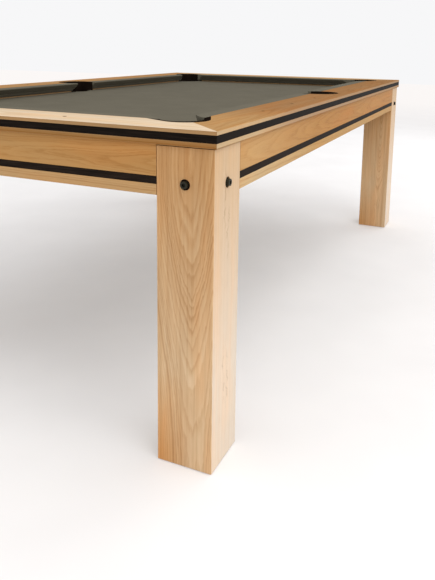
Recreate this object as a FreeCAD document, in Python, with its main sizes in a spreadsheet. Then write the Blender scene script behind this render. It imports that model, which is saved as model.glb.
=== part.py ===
import FreeCAD, Part
import math
import operator
import os

import Sketcher
from FreeCAD import Placement, Rotation, Vector

# A seven-foot slate pool table on four square oak legs, as a parametric document.
#
# Frame: X across the table, Y along it, Z up, in millimetres. The origin is on the floor under the
# table's centre. "Front" is the short side at -Y and "right" is +X.
#
# Most pieces are drawn in a corner frame: its origin is the rail's outer corner on the floor, its
# x runs along one side of the table with the outside of the table on the right-hand side of that
# direction, and its y runs inwards. Each corner frame is the table frame turned by a quarter turn
# more, so one drawing serves all four legs, and one serves a rail and the rail across from it.

DIMENSIONS = {
    # the whole table
    "overall_width": (1344, "across the rails"),
    "overall_length": (2334, "along the rails"),
    "overall_height": (780, "floor to rail top"),
    # rails
    "rail_height": (37.5, "rail board, top to underside"),
    "rail_wood": (127, "outer edge to cloth line"),
    "rail_body": (145, "outer edge to the face that the rubber is glued to"),
    "rebate_drop": (1.4, "step down at the cloth line, for the cloth"),
    "edge_ease": (1.2, "chamfer on the outer wood edges"),
    "inlay_depth": (5, "groove for a black inlay"),
    "inlay_recess": (0.4, "inlay face below the wood face"),
    "rail_inlay_low": (10.8, "rail underside to the inlay"),
    "inlay_height": (17.6, "height of each black inlay"),
    "mitre_gap": (0.3, "open joint between two rails, each side"),
    # cushions
    "cushion_reach": (50, "cloth line to nose"),
    "cloth_thick": (1, "billiard cloth"),
    "nose_high": (35.2, "rail underside to the nose's tip"),
    # pockets
    "corner_pocket": (165, "outer edges to a corner pocket's centre"),
    "side_pocket": (118, "outer edge to a side pocket's centre"),
    "throat_radius": (55, "inside of the pocket"),
    "bucket_wall": (3.6, "moulded wall of the pocket"),
    "cutout_centre": (150, "outer edges to the middle of a corner cut-out's round back"),
    "corner_cutout": (60, "radius of the rails' corner cut-out at its back"),
    "side_cutout": (76, "radius of the rails' side cut-out"),
    "fit_gap": (0.3, "clearance round a moulded or turned piece"),
    "bucket_low": (648, "floor to the pocket's underside"),
    "collar_drop": (0.5, "collar top below the rail top"),
    "corner_mouth": (118, "nose to nose at a corner"),
    "side_mouth": (128, "nose to nose at a side"),
    # bed
    "slate_thick": (22, "slate"),
    "slate_setback": (30, "outer edge to the slate's edge"),
    "slate_hole": (60, "radius of a pocket hole in the slate"),
    "slate_joint": (0.3, "gap between two slates"),
    # sub-frame
    "beam_height": (82, "perimeter beam"),
    "beam_thick": (27, "perimeter beam"),
    "cross_height": (62, "cross beams and stringers"),
    "cross_width": (80, "cross beam, along the table"),
    "stringer_width": (40, "centre stringer"),
    "block_leg": (105, "corner block, along each beam"),
    "block_height": (60, "corner block"),
    # aprons
    "apron_low": (630.5, "floor to the apron's lower edge"),
    "end_apron_gap": (1, "rail underside to the end apron's top"),
    "apron_inlay_low": (24.3, "apron's lower edge to its inlay"),
    "apron_end_gap": (0.8, "apron end to leg"),
    # legs
    "leg_side": (137, "square leg"),
    "leg_inset": (7.5, "rail face to the faces of the legs and aprons"),
    "leg_wall": (19, "boards that the hollow leg is glued from"),
    "leg_cap": (25, "board inside the leg that carries the frame"),
    "leg_top_gap": (3, "rail underside to leg top"),
    "foot_gap": (2, "floor to leg bottom"),
    # leg bolts
    "bolt_across": (76, "outer corner to a leg bolt"),
    "bolt_high": (660, "floor to a leg bolt"),
    "bolt_radius": (5, "M10 leg bolt"),
    "bolt_length": (40, "under the head"),
    "head_radius": (8, "socket head"),
    "head_height": (10, "socket head"),
    "socket_across": (8, "hexagon socket, across flats"),
    "socket_deep": (5, "hexagon socket"),
    "washer_radius": (12, "washer"),
    "washer_thick": (2, "washer"),
    "counterbore": (5.2, "recess for the washer and head"),
    "insert_radius": (8, "threaded insert in a beam"),
    # levelling feet
    "block_low": (18, "floor to the base block in a leg"),
    "block_thick": (52, "base block"),
    "nut_radius": (8, "barrel of the nut in the base block"),
    "nut_length": (30, "barrel of the nut"),
    "nut_flange": (14, "radius of the nut's flange"),
    "flange_thick": (2, "nut's flange"),
    "stem_radius": (4.9, "M10 stem of a levelling foot"),
    "stem_top": (72, "floor to the stem's top"),
    "stem_flat": (17, "hexagon on the stem, across flats"),
    "stem_foot": (8, "radius of the stem's disc, held in the pad"),
    "pad_radius": (24, "pad on the floor"),
    "pad_thick": (9, "pad on the floor"),
    # rail bolts, slate screws and sights
    "rail_bolt_in": (90, "outer edge to a rail bolt"),
    "rail_bolt_radius": (4, "M8 rail bolt"),
    "rail_bolt_length": (50, "under the head"),
    "rail_bolt_head": (9, "radius of its flanged head"),
    "rail_bolt_head_thick": (6, "its flanged head"),
    "screw_in": (42, "outer edge to a slate screw"),
    "screw_radius": (2.5, "slate screw"),
    "screw_head": (5, "radius of its countersunk head"),
    "screw_length": (45, "slate screw"),
    "sight_in": (60, "outer edge to a sight"),
    "sight_radius": (5, "inlaid sight"),
    "sight_deep": (3, "inlaid sight"),
}

# Angles in degrees, then counts, then more lengths in millimetres.
CORNER_MOUTH_TURN = 38  # how far a corner cushion's end turns back from its nose line
SIDE_MOUTH_TURN = 76  # the same at a side pocket
CUTOUT_FLARE = 20  # between each straight side of a corner cut-out and its middle line

SIGHTS_PER_LENGTH = 8  # the playing length is marked in eighths, and the width in quarters
SIGHTS_PER_WIDTH = 4

FLARE_REACH = 90  # a corner cut-out's straight side, which runs on past the cushions' line
FACING_BEFORE = -40  # a mouth cutter starts this far in front of the noses
CORNER_FACING_PAST = 60  # and ends this far behind them, inside the throat
SIDE_FACING_PAST = 50
BUCKET_FLOOR = 4  # thickness of the pocket's bottom
BUCKET_RIM = 6  # how far the bucket's rim stays below the slate's top, at the mouth
NOSE_STEEP = 2.2  # the rubber's nose falls away this much below and behind its tip
UNDERCUT = [(18, 19.2), (26, 29.2)]  # rubber's underside: in from the nose, and down from it
FACING_CUTTER = 90  # length of a cutter along a facing
CUTTER_SIDE = 130  # and how far it reaches away from the cushion
PAD_FLOOR = 5  # thickness of a levelling pad under the stem's disc
PAD_LIP = 0.7  # lip of the pad over the stem's disc
HEX_LOW = 11  # the stem's hexagon, above the floor
HEX_HIGH = 15
INSERT_LENGTH = 25  # threaded insert of a leg bolt
BLOCK_DROP = 10  # the slate's underside to a corner block's top
EDGE_BOLT = 300  # outer corner to the first rail bolt along a side
MIDDLE_BOLT_OFF = 140  # middle of a side, where a stringer or a pocket is, to the nearest rail bolt
END_SCREW = 260  # outer corner to the first slate screw along a side
JOINT_SCREW = 70  # about a slate joint to the screws on each side of it

doc = FreeCAD.newDocument("PoolTable")
sheet = doc.addObject("Spreadsheet::Sheet", "Dims")
for row, (alias, (number, note)) in enumerate(DIMENSIONS.items(), start=1):
    sheet.set(f"A{row}", note)
    sheet.set(f"B{row}", str(number))
    sheet.setAlias(f"B{row}", alias)
doc.recompute()


class Size:
    """A length worked out from the sheet: its value now, and the expression that gives it."""

    def __init__(self, value, text):
        self.value = float(value)
        self.text = text

    def _with(self, other, sign, work, swapped=False):
        first, second = (size(other), self) if swapped else (self, size(other))
        return Size(work(first.value, second.value), f"({first.text} {sign} {second.text})")

    def __add__(self, other):
        return self._with(other, "+", operator.add)

    def __radd__(self, other):
        return self._with(other, "+", operator.add, swapped=True)

    def __sub__(self, other):
        return self._with(other, "-", operator.sub)

    def __rsub__(self, other):
        return self._with(other, "-", operator.sub, swapped=True)

    def __mul__(self, other):
        return self._with(other, "*", operator.mul)

    def __rmul__(self, other):
        return self._with(other, "*", operator.mul, swapped=True)

    def __truediv__(self, other):
        return self._with(other, "/", operator.truediv)

    def __neg__(self):
        return 0 - self


def size(value):
    """A Size as it is, and a plain number as a Size that nothing in the sheet changes."""
    return value if isinstance(value, Size) else Size(value, f"{float(value):.6g}")


def dim(alias):
    return Size(sheet.get(alias), f"Dims.{alias}")


# ---------------------------------------------------------------- building blocks


def bind(obj, **lengths):
    """Ties properties of obj to the sheet. x, y and z are its placement's base."""
    for key, value in lengths.items():
        path = f"Placement.Base.{key}" if key in ("x", "y", "z") else key
        obj.setExpression(path, size(value).text)
    return obj


def box(name, low, high):
    """A block between two opposite corners."""
    low, high = [size(v) for v in low], [size(v) for v in high]
    block = doc.addObject("Part::Box", name)
    bind(block, x=low[0], y=low[1], z=low[2])
    return bind(block, Length=high[0] - low[0], Width=high[1] - low[1], Height=high[2] - low[2])


TURNS = {
    "up": Rotation(),
    "along_x": Rotation(Vector(0, 1, 0), 90),
    "along_y": Rotation(Vector(1, 0, 0), -90),
}


def rod(name, start, radius, length, heading="up"):
    """A cylinder from start, running up or along x or y."""
    cylinder = doc.addObject("Part::Cylinder", name)
    cylinder.Placement.Rotation = TURNS[heading]
    bind(cylinder, x=start[0], y=start[1], z=start[2])
    return bind(cylinder, Radius=radius, Height=length)


def hexagon(name, start, across_flats, length):
    """An upright hexagonal prism from start."""
    hex_bar = doc.addObject("Part::Prism", name)
    hex_bar.Polygon = 6
    bind(hex_bar, x=start[0], y=start[1], z=start[2])
    return bind(hex_bar, Circumradius=size(across_flats) / math.sqrt(3), Height=length)


def outline(body, plane, corners):
    """A closed sketch on one of the body's origin planes. Its corners are pairs of lengths."""
    sketch = body.newObject("Sketcher::SketchObject", body.Name + "_outline")
    origin_plane = next(f for f in body.Origin.OriginFeatures if f.Role == plane)
    sketch.AttachmentSupport = (origin_plane, [""])
    sketch.MapMode = "FlatFace"
    points = [(size(x), size(y)) for x, y in corners]
    for (x0, y0), (x1, y1) in zip(points, points[1:] + points[:1]):
        start, end = Vector(x0.value, y0.value, 0), Vector(x1.value, y1.value, 0)
        sketch.addGeometry(Part.LineSegment(start, end))
    for i, point in enumerate(points):
        before = (i - 1) % len(points)
        sketch.addConstraint(Sketcher.Constraint("Coincident", before, 2, i, 1))
        for kind, value in zip(("DistanceX", "DistanceY"), point):
            tie = Sketcher.Constraint(kind, -1, 1, i, 1, value.value)
            sketch.setExpression(f"Constraints[{sketch.addConstraint(tie)}]", value.text)
    return sketch


def pad(name, plane, corners, length):
    body = doc.addObject("PartDesign::Body", name)
    feature = body.newObject("PartDesign::Pad", name + "_pad")
    feature.Profile = outline(body, plane, corners)
    bind(feature, Length=length)
    body.Tip = feature
    return body


def prism(name, corners, low, high):
    """Corners in x and y, standing from height low to high."""
    return bind(pad(name, "XY_Plane", corners, size(high) - low), z=low)


def moulding(name, section, start, length):
    """A section in y and z, running along x from start."""
    return bind(pad(name, "YZ_Plane", section, length), x=start)


def cut(name, base, tools):
    """base with every tool taken away."""
    result = doc.addObject("Part::Cut", name)
    result.Base = base
    result.Tool = tools[0] if len(tools) == 1 else group(name + "_tools", tools)
    return result


def fuse(name, parts):
    result = doc.addObject("Part::MultiFuse", name)
    result.Shapes = parts
    return result


def group(name, parts):
    result = doc.addObject("Part::Compound", name)
    result.Links = parts
    return result


def copy_of(original, name, place, turn=None):
    """The same piece again, at another place."""
    link = doc.addObject("App::Link", name)
    link.LinkedObject = original
    link.Placement = Placement(Vector(), turn or Rotation())
    return bind(link, x=place[0], y=place[1], z=place[2])


# ---------------------------------------------------------------- frames and levels

half_width = dim("overall_width") / 2
half_length = dim("overall_length") / 2

CORNERS = {  # corner: quarter turns of its frame
    "front_left": 0,
    "front_right": 1,
    "rear_right": 2,
    "rear_left": 3,
}
SIDES = {  # side: (the corner frame that it is drawn in, its length)
    "front": ("front_left", dim("overall_width")),
    "right": ("front_right", dim("overall_length")),
    "rear": ("rear_right", dim("overall_width")),
    "left": ("rear_left", dim("overall_length")),
}


def is_long(side):
    return side in ("left", "right")


def on_table(corner, along, inward):
    """A point of a corner frame, as the table frame's x and y."""
    return {
        "front_left": (along - half_width, inward - half_length),
        "front_right": (half_width - inward, along - half_length),
        "rear_right": (half_width - along, half_length - inward),
        "rear_left": (inward - half_width, half_length - along),
    }[corner]


def corner_turn(corner):
    return Rotation(Vector(0, 0, 1), 90 * CORNERS[corner])


def board(name, corner, low, high):
    """A block between two opposite corners, which are points of that corner frame."""
    low, high = [size(v) for v in low], [size(v) for v in high]
    block = box(name, low, high)
    block.Placement.Rotation = corner_turn(corner)
    x, y = on_table(corner, low[0], low[1])
    return bind(block, x=x, y=y)


def stand_at(piece, corner):
    """Moves a piece drawn in the corner frame to its corner of the table."""
    piece.Placement.Rotation = corner_turn(corner)
    x, y = on_table(corner, size(0), size(0))
    return bind(piece, x=x, y=y)


rail_low = dim("overall_height") - dim("rail_height")
slate_high = rail_low - dim("cloth_thick")
slate_low = slate_high - dim("slate_thick")
beam_low = slate_low - dim("beam_height")
beam_outer = dim("leg_inset") + dim("leg_wall")
beam_inner = beam_outer + dim("beam_thick")
leg_outer = dim("leg_inset")
leg_inner = leg_outer + dim("leg_side")
leg_high = rail_low - dim("leg_top_gap")
nose_in = dim("rail_wood") + dim("cushion_reach")
bucket_radius = dim("throat_radius") + dim("bucket_wall")
parts = {}


def keep(name, piece):
    """Names a finished sub-part."""
    piece.Label = name
    parts[name] = piece
    return piece


# ---------------------------------------------------------------- pocket geometry
# A cushion's end is a straight facing from its nose towards the rail. The two facings of a
# pocket are the sides of its mouth, and the pocket's moulded collar carries them on. The
# rails' cut-out at a corner has a round back and two straight sides that flare to the cushions.


def facing(nose, turn, reach):
    """The point reach along a facing, which starts at the nose and turns back towards the rail."""
    along, inward = nose
    back_along = reach * math.cos(math.radians(turn))
    back_inward = reach * math.sin(math.radians(turn))
    return along - back_along, inward - back_inward


corner_nose_along = nose_in + dim("corner_mouth") / math.sqrt(2)
side_nose_along = dim("side_mouth") / 2


def swapped(point):
    return point[1], point[0]


def corner_cutout(name, low, high, grow=0.0, length=None):
    """The shape of a corner cut-out, at a side's near end or, with its length, at its far end."""
    centre, radius = dim("cutout_centre"), dim("corner_cutout") + grow
    turn = math.radians(45 - CUTOUT_FLARE)
    touch = (centre + radius * math.sin(turn), centre - radius * math.cos(turn))
    end = (touch[0] + FLARE_REACH * math.cos(turn), touch[1] + FLARE_REACH * math.sin(turn))
    outline = [touch, end, swapped(end), swapped(touch)]
    across = centre
    if length is not None:
        outline = [(length - point[0], point[1]) for point in reversed(outline)]
        across = length - centre
    back = rod(name + "_back", (across, centre, low), radius, high - low)
    return fuse(name, [back, prism(name + "_sides", outline, low, high)])


def corner_mouth_cutter(name, low, high):
    """The space between the two facings of the corner pocket, in the corner frame."""
    nose = (corner_nose_along, nose_in)
    near = facing(nose, CORNER_MOUTH_TURN, CORNER_FACING_PAST)
    far = facing(nose, CORNER_MOUTH_TURN, FACING_BEFORE)
    return prism(name, [near, far, swapped(far), swapped(near)], low, high)


def side_mouth_cutter(name, middle, low, high):
    """The space between the two facings of a side pocket whose centre is at middle along x."""
    nose = (side_nose_along, nose_in)
    near = facing(nose, SIDE_MOUTH_TURN, SIDE_FACING_PAST)
    far = facing(nose, SIDE_MOUTH_TURN, FACING_BEFORE)
    right_hand = [(middle + near[0], near[1]), (middle + far[0], far[1])]
    left_hand = [(middle - far[0], far[1]), (middle - near[0], near[1])]
    return prism(name, right_hand + left_hand, low, high)


# ---------------------------------------------------------------- legs and levelling feet


def eased_square(low, high, ease):
    """A square from (low, low) to (high, high) with its corners taken off."""
    return [
        (low + ease, low), (high - ease, low), (high, low + ease), (high, high - ease),
        (high - ease, high), (low + ease, high), (low, high - ease), (low, low + ease),
    ]


def leg_bolt_holes(name):
    """Clearance holes and counterbores for the two bolts, through the leg's outer boards."""
    across, high = dim("bolt_across"), dim("bolt_high")
    tools = []
    for heading in ("along_y", "along_x"):
        start = (across, leg_outer, high) if heading == "along_y" else (leg_outer, across, high)
        through = dim("bolt_radius") + dim("fit_gap")
        recess = dim("washer_radius") + dim("fit_gap")
        tools.append(rod(f"{name}_hole_{heading}", start, through, dim("leg_wall"), heading))
        tools.append(rod(f"{name}_recess_{heading}", start, recess, dim("counterbore"), heading))
    return tools


def make_leg(corner):
    name = "leg_" + corner
    square = eased_square(leg_outer, leg_inner, dim("edge_ease"))
    post = prism(name + "_post", square, dim("foot_gap"), leg_high)
    hollow_low = leg_outer + dim("leg_wall")
    hollow_high = leg_inner - dim("leg_wall")
    hollow = box(
        name + "_hollow",
        (hollow_low, hollow_low, dim("foot_gap")),
        (hollow_high, hollow_high, beam_low - dim("leg_cap")),
    )
    notch = box(name + "_notch", (beam_outer, beam_outer, beam_low), (leg_inner, leg_inner, leg_high))
    return cut(name, post, [hollow, notch] + leg_bolt_holes(name))


def make_base_block(corner):
    name = "base_block_" + corner
    gap = dim("fit_gap")
    low, high = leg_outer + dim("leg_wall") + gap, leg_inner - dim("leg_wall") - gap
    top = dim("block_low") + dim("block_thick")
    block = box(name + "_blank", (low, low, dim("block_low")), (high, high, top))
    middle = (leg_outer + leg_inner) / 2
    hole_radius = dim("nut_radius") + gap / 2
    hole = rod(name + "_hole", (middle, middle, dim("block_low")), hole_radius, dim("block_thick"))
    return stand_at(cut(name, block, [hole]), corner)


def make_leveller_nut():
    """Flanged barrel nut, on its own axis: its flange is under the base block."""
    low = dim("block_low") - dim("flange_thick")
    flange = rod("nut_flange_disc", (0, 0, low), dim("nut_flange"), dim("flange_thick"))
    barrel = rod("nut_barrel", (0, 0, dim("block_low")), dim("nut_radius"), dim("nut_length"))
    thread = rod("nut_thread", (0, 0, low), dim("bolt_radius") + dim("fit_gap") / 2, 2 * dim("nut_length"))
    return cut("leveller_nut", fuse("nut_blank", [flange, barrel]), [thread])




def make_pad(name):
    """Round pad with an undercut socket, on its own axis."""
    gap = dim("fit_gap")
    lip_low = dim("pad_thick") - PAD_LIP
    disc = rod(name + "_disc", (0, 0, 0), dim("pad_radius"), dim("pad_thick"))
    socket = rod(name + "_socket", (0, 0, PAD_FLOOR), dim("stem_foot") + gap, lip_low - PAD_FLOOR)
    throat = rod(name + "_throat", (0, 0, lip_low), dim("stem_radius") + gap, PAD_LIP)
    return cut(name, disc, [socket, throat])


def make_stem(name):
    """Threaded stem with a disc that turns in the pad, and a hexagon for a spanner."""
    gap = dim("fit_gap") / 2
    foot_low = PAD_FLOOR + gap
    foot_high = dim("pad_thick") - PAD_LIP - gap
    foot = rod(name + "_foot", (0, 0, foot_low), dim("stem_foot"), foot_high - foot_low)
    screw = rod(name + "_screw", (0, 0, foot_low), dim("stem_radius"), dim("stem_top") - foot_low)
    nut = hexagon(name + "_hexagon", (0, 0, HEX_LOW), dim("stem_flat"), HEX_HIGH - HEX_LOW)
    return fuse(name, [foot, screw, nut])


leveller_nut = make_leveller_nut()
base_blocks = []
leveller_nuts = []
for corner in CORNERS:
    leg_middle = (leg_outer + leg_inner) / 2
    foot_x, foot_y = on_table(corner, leg_middle, leg_middle)
    keep("leg_" + corner, stand_at(make_leg(corner), corner))
    base_blocks.append(make_base_block(corner))
    leveller_nuts.append(copy_of(leveller_nut, "nut_" + corner, (foot_x, foot_y, 0)))
    pad_name, stem_name = "leveller_pad_" + corner, "leveller_stem_" + corner
    keep(pad_name, bind(make_pad(pad_name), x=foot_x, y=foot_y))
    keep(stem_name, bind(make_stem(stem_name), x=foot_x, y=foot_y))
keep("leg_base_blocks", group("leg_base_blocks", base_blocks))
keep("leveller_nuts", group("leveller_nuts", leveller_nuts))

# ---------------------------------------------------------------- leg bolts


def make_leg_bolt():
    """Socket-head cap screw along z, with the head's outer face at zero."""
    head = rod("leg_bolt_head", (0, 0, 0), dim("head_radius"), dim("head_height"))
    shank = rod("leg_bolt_shank", (0, 0, dim("head_height")), dim("bolt_radius"), dim("bolt_length"))
    socket = hexagon("leg_bolt_socket", (0, 0, 0), dim("socket_across"), dim("socket_deep"))
    return cut("leg_bolt", fuse("leg_bolt_blank", [head, shank]), [socket])


def make_ring(name, outer, inner, length):
    tube = rod(name + "_outside", (0, 0, 0), outer, length)
    return cut(name, tube, [rod(name + "_bore", (0, 0, 0), inner, length)])


washer_out = leg_outer + dim("counterbore") - dim("washer_thick")
head_out = washer_out - dim("head_height")
insert_out = beam_outer + 1
bolt_clear = dim("bolt_radius") + dim("fit_gap") / 2
leg_bolt_parts = {  # node: (its master, how far in from the rail face it starts)
    "leg_bolts": (make_leg_bolt(), head_out),
    "leg_bolt_washers": (
        make_ring("washer", dim("washer_radius"), bolt_clear, dim("washer_thick")),
        washer_out,
    ),
    "leg_bolt_inserts": (
        make_ring("insert", dim("insert_radius"), bolt_clear, INSERT_LENGTH),
        insert_out,
    ),
}
for node, (master, inward) in leg_bolt_parts.items():
    copies = []
    for corner in CORNERS:
        for heading in ("along_y", "along_x"):
            across = dim("bolt_across")
            local = (across, inward) if heading == "along_y" else (inward, across)
            place = on_table(corner, *local) + (dim("bolt_high"),)
            turn = corner_turn(corner).multiply(TURNS[heading])
            copies.append(copy_of(master, f"{node}_{corner}_{heading}", place, turn))
    keep(node, group(node, copies))

# ---------------------------------------------------------------- fastener places



def rail_bolt_places(side):
    """How far along a side its rail bolts are: none is at its middle."""
    length = SIDES[side][1]
    last = length / 2 - MIDDLE_BOLT_OFF
    between = [(EDGE_BOLT + last) / 2] if is_long(side) else []
    near = [size(EDGE_BOLT), *between, last]
    return near + [length - place for place in reversed(near)]


def screw_places(side):
    """How far along a side its slate screws are. Each slate has two or more on each side."""
    length = SIDES[side][1]
    if not is_long(side):
        return [size(END_SCREW), length - END_SCREW]
    near = [size(END_SCREW), length / 3 - JOINT_SCREW, length / 3 + JOINT_SCREW]
    return near + [length - place for place in reversed(near)]


def places_round_table(spacing, inward):
    """Points on the table, from a function that spaces them along each side."""
    return [
        on_table(corner, along, inward)
        for side, (corner, length) in SIDES.items()
        for along in spacing(side)
    ]


rail_bolt_points = places_round_table(rail_bolt_places, dim("rail_bolt_in"))
screw_points = places_round_table(screw_places, dim("screw_in"))


def make_rail_bolt():
    """Flanged bolt, upright, with its head's top at the slate's underside."""
    head_low = slate_low - dim("rail_bolt_head_thick")
    head = rod("rail_bolt_flange", (0, 0, head_low), dim("rail_bolt_head"), dim("rail_bolt_head_thick"))
    shank = rod("rail_bolt_shank", (0, 0, slate_low), dim("rail_bolt_radius"), dim("rail_bolt_length"))
    return fuse("rail_bolt", [head, shank])


def countersunk(name, gap):
    """Countersunk screw, upright, with its head flush with the slate; gap makes its hole."""
    head_radius = dim("screw_head") + gap
    radius = dim("screw_radius") + gap
    cone = doc.addObject("Part::Cone", name + "_head")
    head_deep = head_radius - radius
    bind(cone, Radius1=radius, Radius2=head_radius, Height=head_deep, z=slate_high - head_deep)
    shank_low = slate_high - dim("screw_length")
    shank = rod(name + "_shank", (0, 0, shank_low), radius, dim("screw_length") - head_deep)
    return fuse(name, [cone, shank])


rail_bolt = make_rail_bolt()
slate_screw = countersunk("slate_screw", size(0))
screw_hole = countersunk("screw_hole", dim("fit_gap") / 2)
keep("rail_bolts", group("rail_bolts", [
    copy_of(rail_bolt, f"rail_bolt_{i}", (x, y, 0)) for i, (x, y) in enumerate(rail_bolt_points)
]))
keep("slate_screws", group("slate_screws", [
    copy_of(slate_screw, f"slate_screw_{i}", (x, y, 0)) for i, (x, y) in enumerate(screw_points)
]))

# ---------------------------------------------------------------- sub-frame


def frame_holes(name, side):
    """Holes for the leg bolt inserts and the slate screws, in the beam along a side."""
    length = SIDES[side][1]
    radius = dim("insert_radius") + dim("fit_gap") / 2
    tools = []
    for along in (dim("bolt_across"), length - dim("bolt_across")):
        start = (along, beam_outer, dim("bolt_high"))
        tools.append(rod(f"{name}_insert_{len(tools)}", start, radius, dim("beam_thick"), "along_y"))
    for along in screw_places(side):
        place = (along, dim("screw_in"), 0)
        tools.append(copy_of(screw_hole, f"{name}_screw_{len(tools)}", place))
    return tools


for side, (corner, length) in SIDES.items():
    name = ("side_beam_" if is_long(side) else "end_beam_") + side
    ends = beam_outer if is_long(side) else beam_inner
    blank = box(name + "_blank", (ends, beam_outer, beam_low), (length - ends, beam_inner, slate_low))
    keep(name, stand_at(cut(name, blank, frame_holes(name, side)), corner))

slate_split = (dim("overall_length") - 2 * dim("slate_setback")) / 6  # centre to a slate joint
cross_low = slate_low - dim("cross_height")
half_cross = dim("cross_width") / 2
half_stringer = dim("stringer_width") / 2
inside_x = half_width - beam_inner
inside_y = half_length - beam_inner
keep("cross_beams", group("cross_beams", [
    box(
        f"cross_beam_{place}",
        (-inside_x, middle - half_cross, cross_low),
        (inside_x, middle + half_cross, slate_low),
    )
    for place, middle in (("front", -slate_split), ("rear", slate_split))
]))
stringer_spans = {
    "front": (-inside_y, -slate_split - half_cross),
    "middle": (-slate_split + half_cross, slate_split - half_cross),
    "rear": (slate_split + half_cross, inside_y),
}
keep("centre_stringers", group("centre_stringers", [
    box(f"stringer_{place}", (-half_stringer, start, cross_low), (half_stringer, end, slate_low))
    for place, (start, end) in stringer_spans.items()
]))




def make_corner_block(corner):
    """Triangular block glued into the corner of the frame."""
    reach = beam_inner + dim("block_leg")
    low = slate_low - dim("block_height") - BLOCK_DROP
    triangle = [(beam_inner, beam_inner), (reach, beam_inner), (beam_inner, reach)]
    block = prism("corner_block_" + corner, triangle, low, low + dim("block_height"))
    return stand_at(block, corner)


keep("corner_blocks", group("corner_blocks", [make_corner_block(corner) for corner in CORNERS]))

# ---------------------------------------------------------------- slate bed and cloth


def bed_holes(name, low, high):
    """Corner holes and open side notches for the six pockets, in the table frame."""
    radius, thick = dim("slate_hole"), size(high) - low
    tools = []
    for corner in CORNERS:
        x, y = on_table(corner, dim("corner_pocket"), dim("corner_pocket"))
        tools.append(rod(f"{name}_hole_{corner}", (x, y, low), radius, thick))
    for sign, side in ((-1, "left"), (1, "right")):
        middle = sign * (half_width - dim("side_pocket"))
        edge = sign * half_width
        round_end = rod(f"{name}_round_{side}", (middle, 0, low), radius, thick)
        x0, x1 = (edge, middle) if sign < 0 else (middle, edge)
        slot = box(f"{name}_slot_{side}", (x0, -radius, low), (x1, radius, high))
        tools.append(fuse(f"{name}_notch_{side}", [round_end, slot]))
    return tools


slate_x = half_width - dim("slate_setback")
slate_y = half_length - dim("slate_setback")
half_joint = dim("slate_joint") / 2
slate_spans = {
    "front": (-slate_y, -slate_split - half_joint),
    "middle": (-slate_split + half_joint, slate_split - half_joint),
    "rear": (slate_split + half_joint, slate_y),
}
for place, (start, end) in slate_spans.items():
    name = "slate_" + place
    blank = box(name + "_blank", (-slate_x, start, slate_low), (slate_x, end, slate_high))
    tools = bed_holes(name, slate_low, slate_high)
    for i, (x, y) in enumerate(rail_bolt_points):
        if start.value < y.value < end.value:
            radius = dim("rail_bolt_radius") + dim("fit_gap")
            tools.append(rod(f"{name}_bolt_{i}", (x, y, slate_low), radius, dim("slate_thick")))
    for i, (x, y) in enumerate(screw_points):
        if start.value < y.value < end.value:
            tools.append(copy_of(screw_hole, f"{name}_screw_{i}", (x, y, 0)))
    keep(name, cut(name, blank, tools))

cloth_blank = box("bed_cloth_blank", (-slate_x, -slate_y, slate_high), (slate_x, slate_y, rail_low))
cloth_tools = bed_holes("bed_cloth", slate_high, rail_low)
for i, (x, y) in enumerate(rail_bolt_points):
    radius = dim("rail_bolt_radius") + dim("fit_gap")
    cloth_tools.append(rod(f"bed_cloth_bolt_{i}", (x, y, slate_high), radius, dim("cloth_thick")))
keep("bed_cloth", cut("bed_cloth", cloth_blank, cloth_tools))

# ---------------------------------------------------------------- rails, inlays and sights


def rail_section():
    """Section of a rail in y (inwards) and z (above its underside)."""
    top, ease, groove = dim("rail_height"), dim("edge_ease"), dim("inlay_depth")
    low, high = dim("rail_inlay_low"), dim("rail_inlay_low") + dim("inlay_height")
    rebate = top - dim("rebate_drop")
    return [
        (ease, 0), (dim("rail_body"), 0), (dim("rail_body"), rebate), (dim("rail_wood"), rebate),
        (dim("rail_wood"), top), (ease, top), (0, top - ease), (0, high), (groove, high),
        (groove, low), (0, low), (0, ease),
    ]


def mitre_cutters(name, length, low, high):
    """Two wedges that cut the ends of a piece along the table's diagonals."""
    gap, reach = dim("mitre_gap"), dim("rail_body") + 1
    near = [(-1, -1), (gap - 1, -1), (reach + gap, reach), (-1, reach)]
    far = [(length - x, y) for x, y in near]
    return [prism(f"{name}_mitre_{i}", corners, low, high) for i, corners in enumerate((near, far))]


def sight_places(side):
    """How far along a side its sights are: fractions of the playing length or width."""
    divisions = SIGHTS_PER_LENGTH if is_long(side) else SIGHTS_PER_WIDTH
    step = (SIDES[side][1] - 2 * nose_in) / divisions
    marks = [i for i in range(1, divisions) if not (is_long(side) and 2 * i == divisions)]
    return [nose_in + step * i for i in marks]


def side_cutouts(name, side, low, high):
    """The round cutter of a side pocket, if a side has one."""
    if not is_long(side):
        return []
    middle = (SIDES[side][1] / 2, dim("side_pocket"), low)
    return [rod(f"{name}_side", middle, dim("side_cutout"), high - low)]


def pocket_cutouts(name, side, low, high):
    """Cutters for the pockets that a side's rail meets."""
    corners = [
        corner_cutout(name + "_corner_near", low, high),
        corner_cutout(name + "_corner_far", low, high, length=SIDES[side][1]),
    ]
    return corners + side_cutouts(name, side, low, high)


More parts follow.
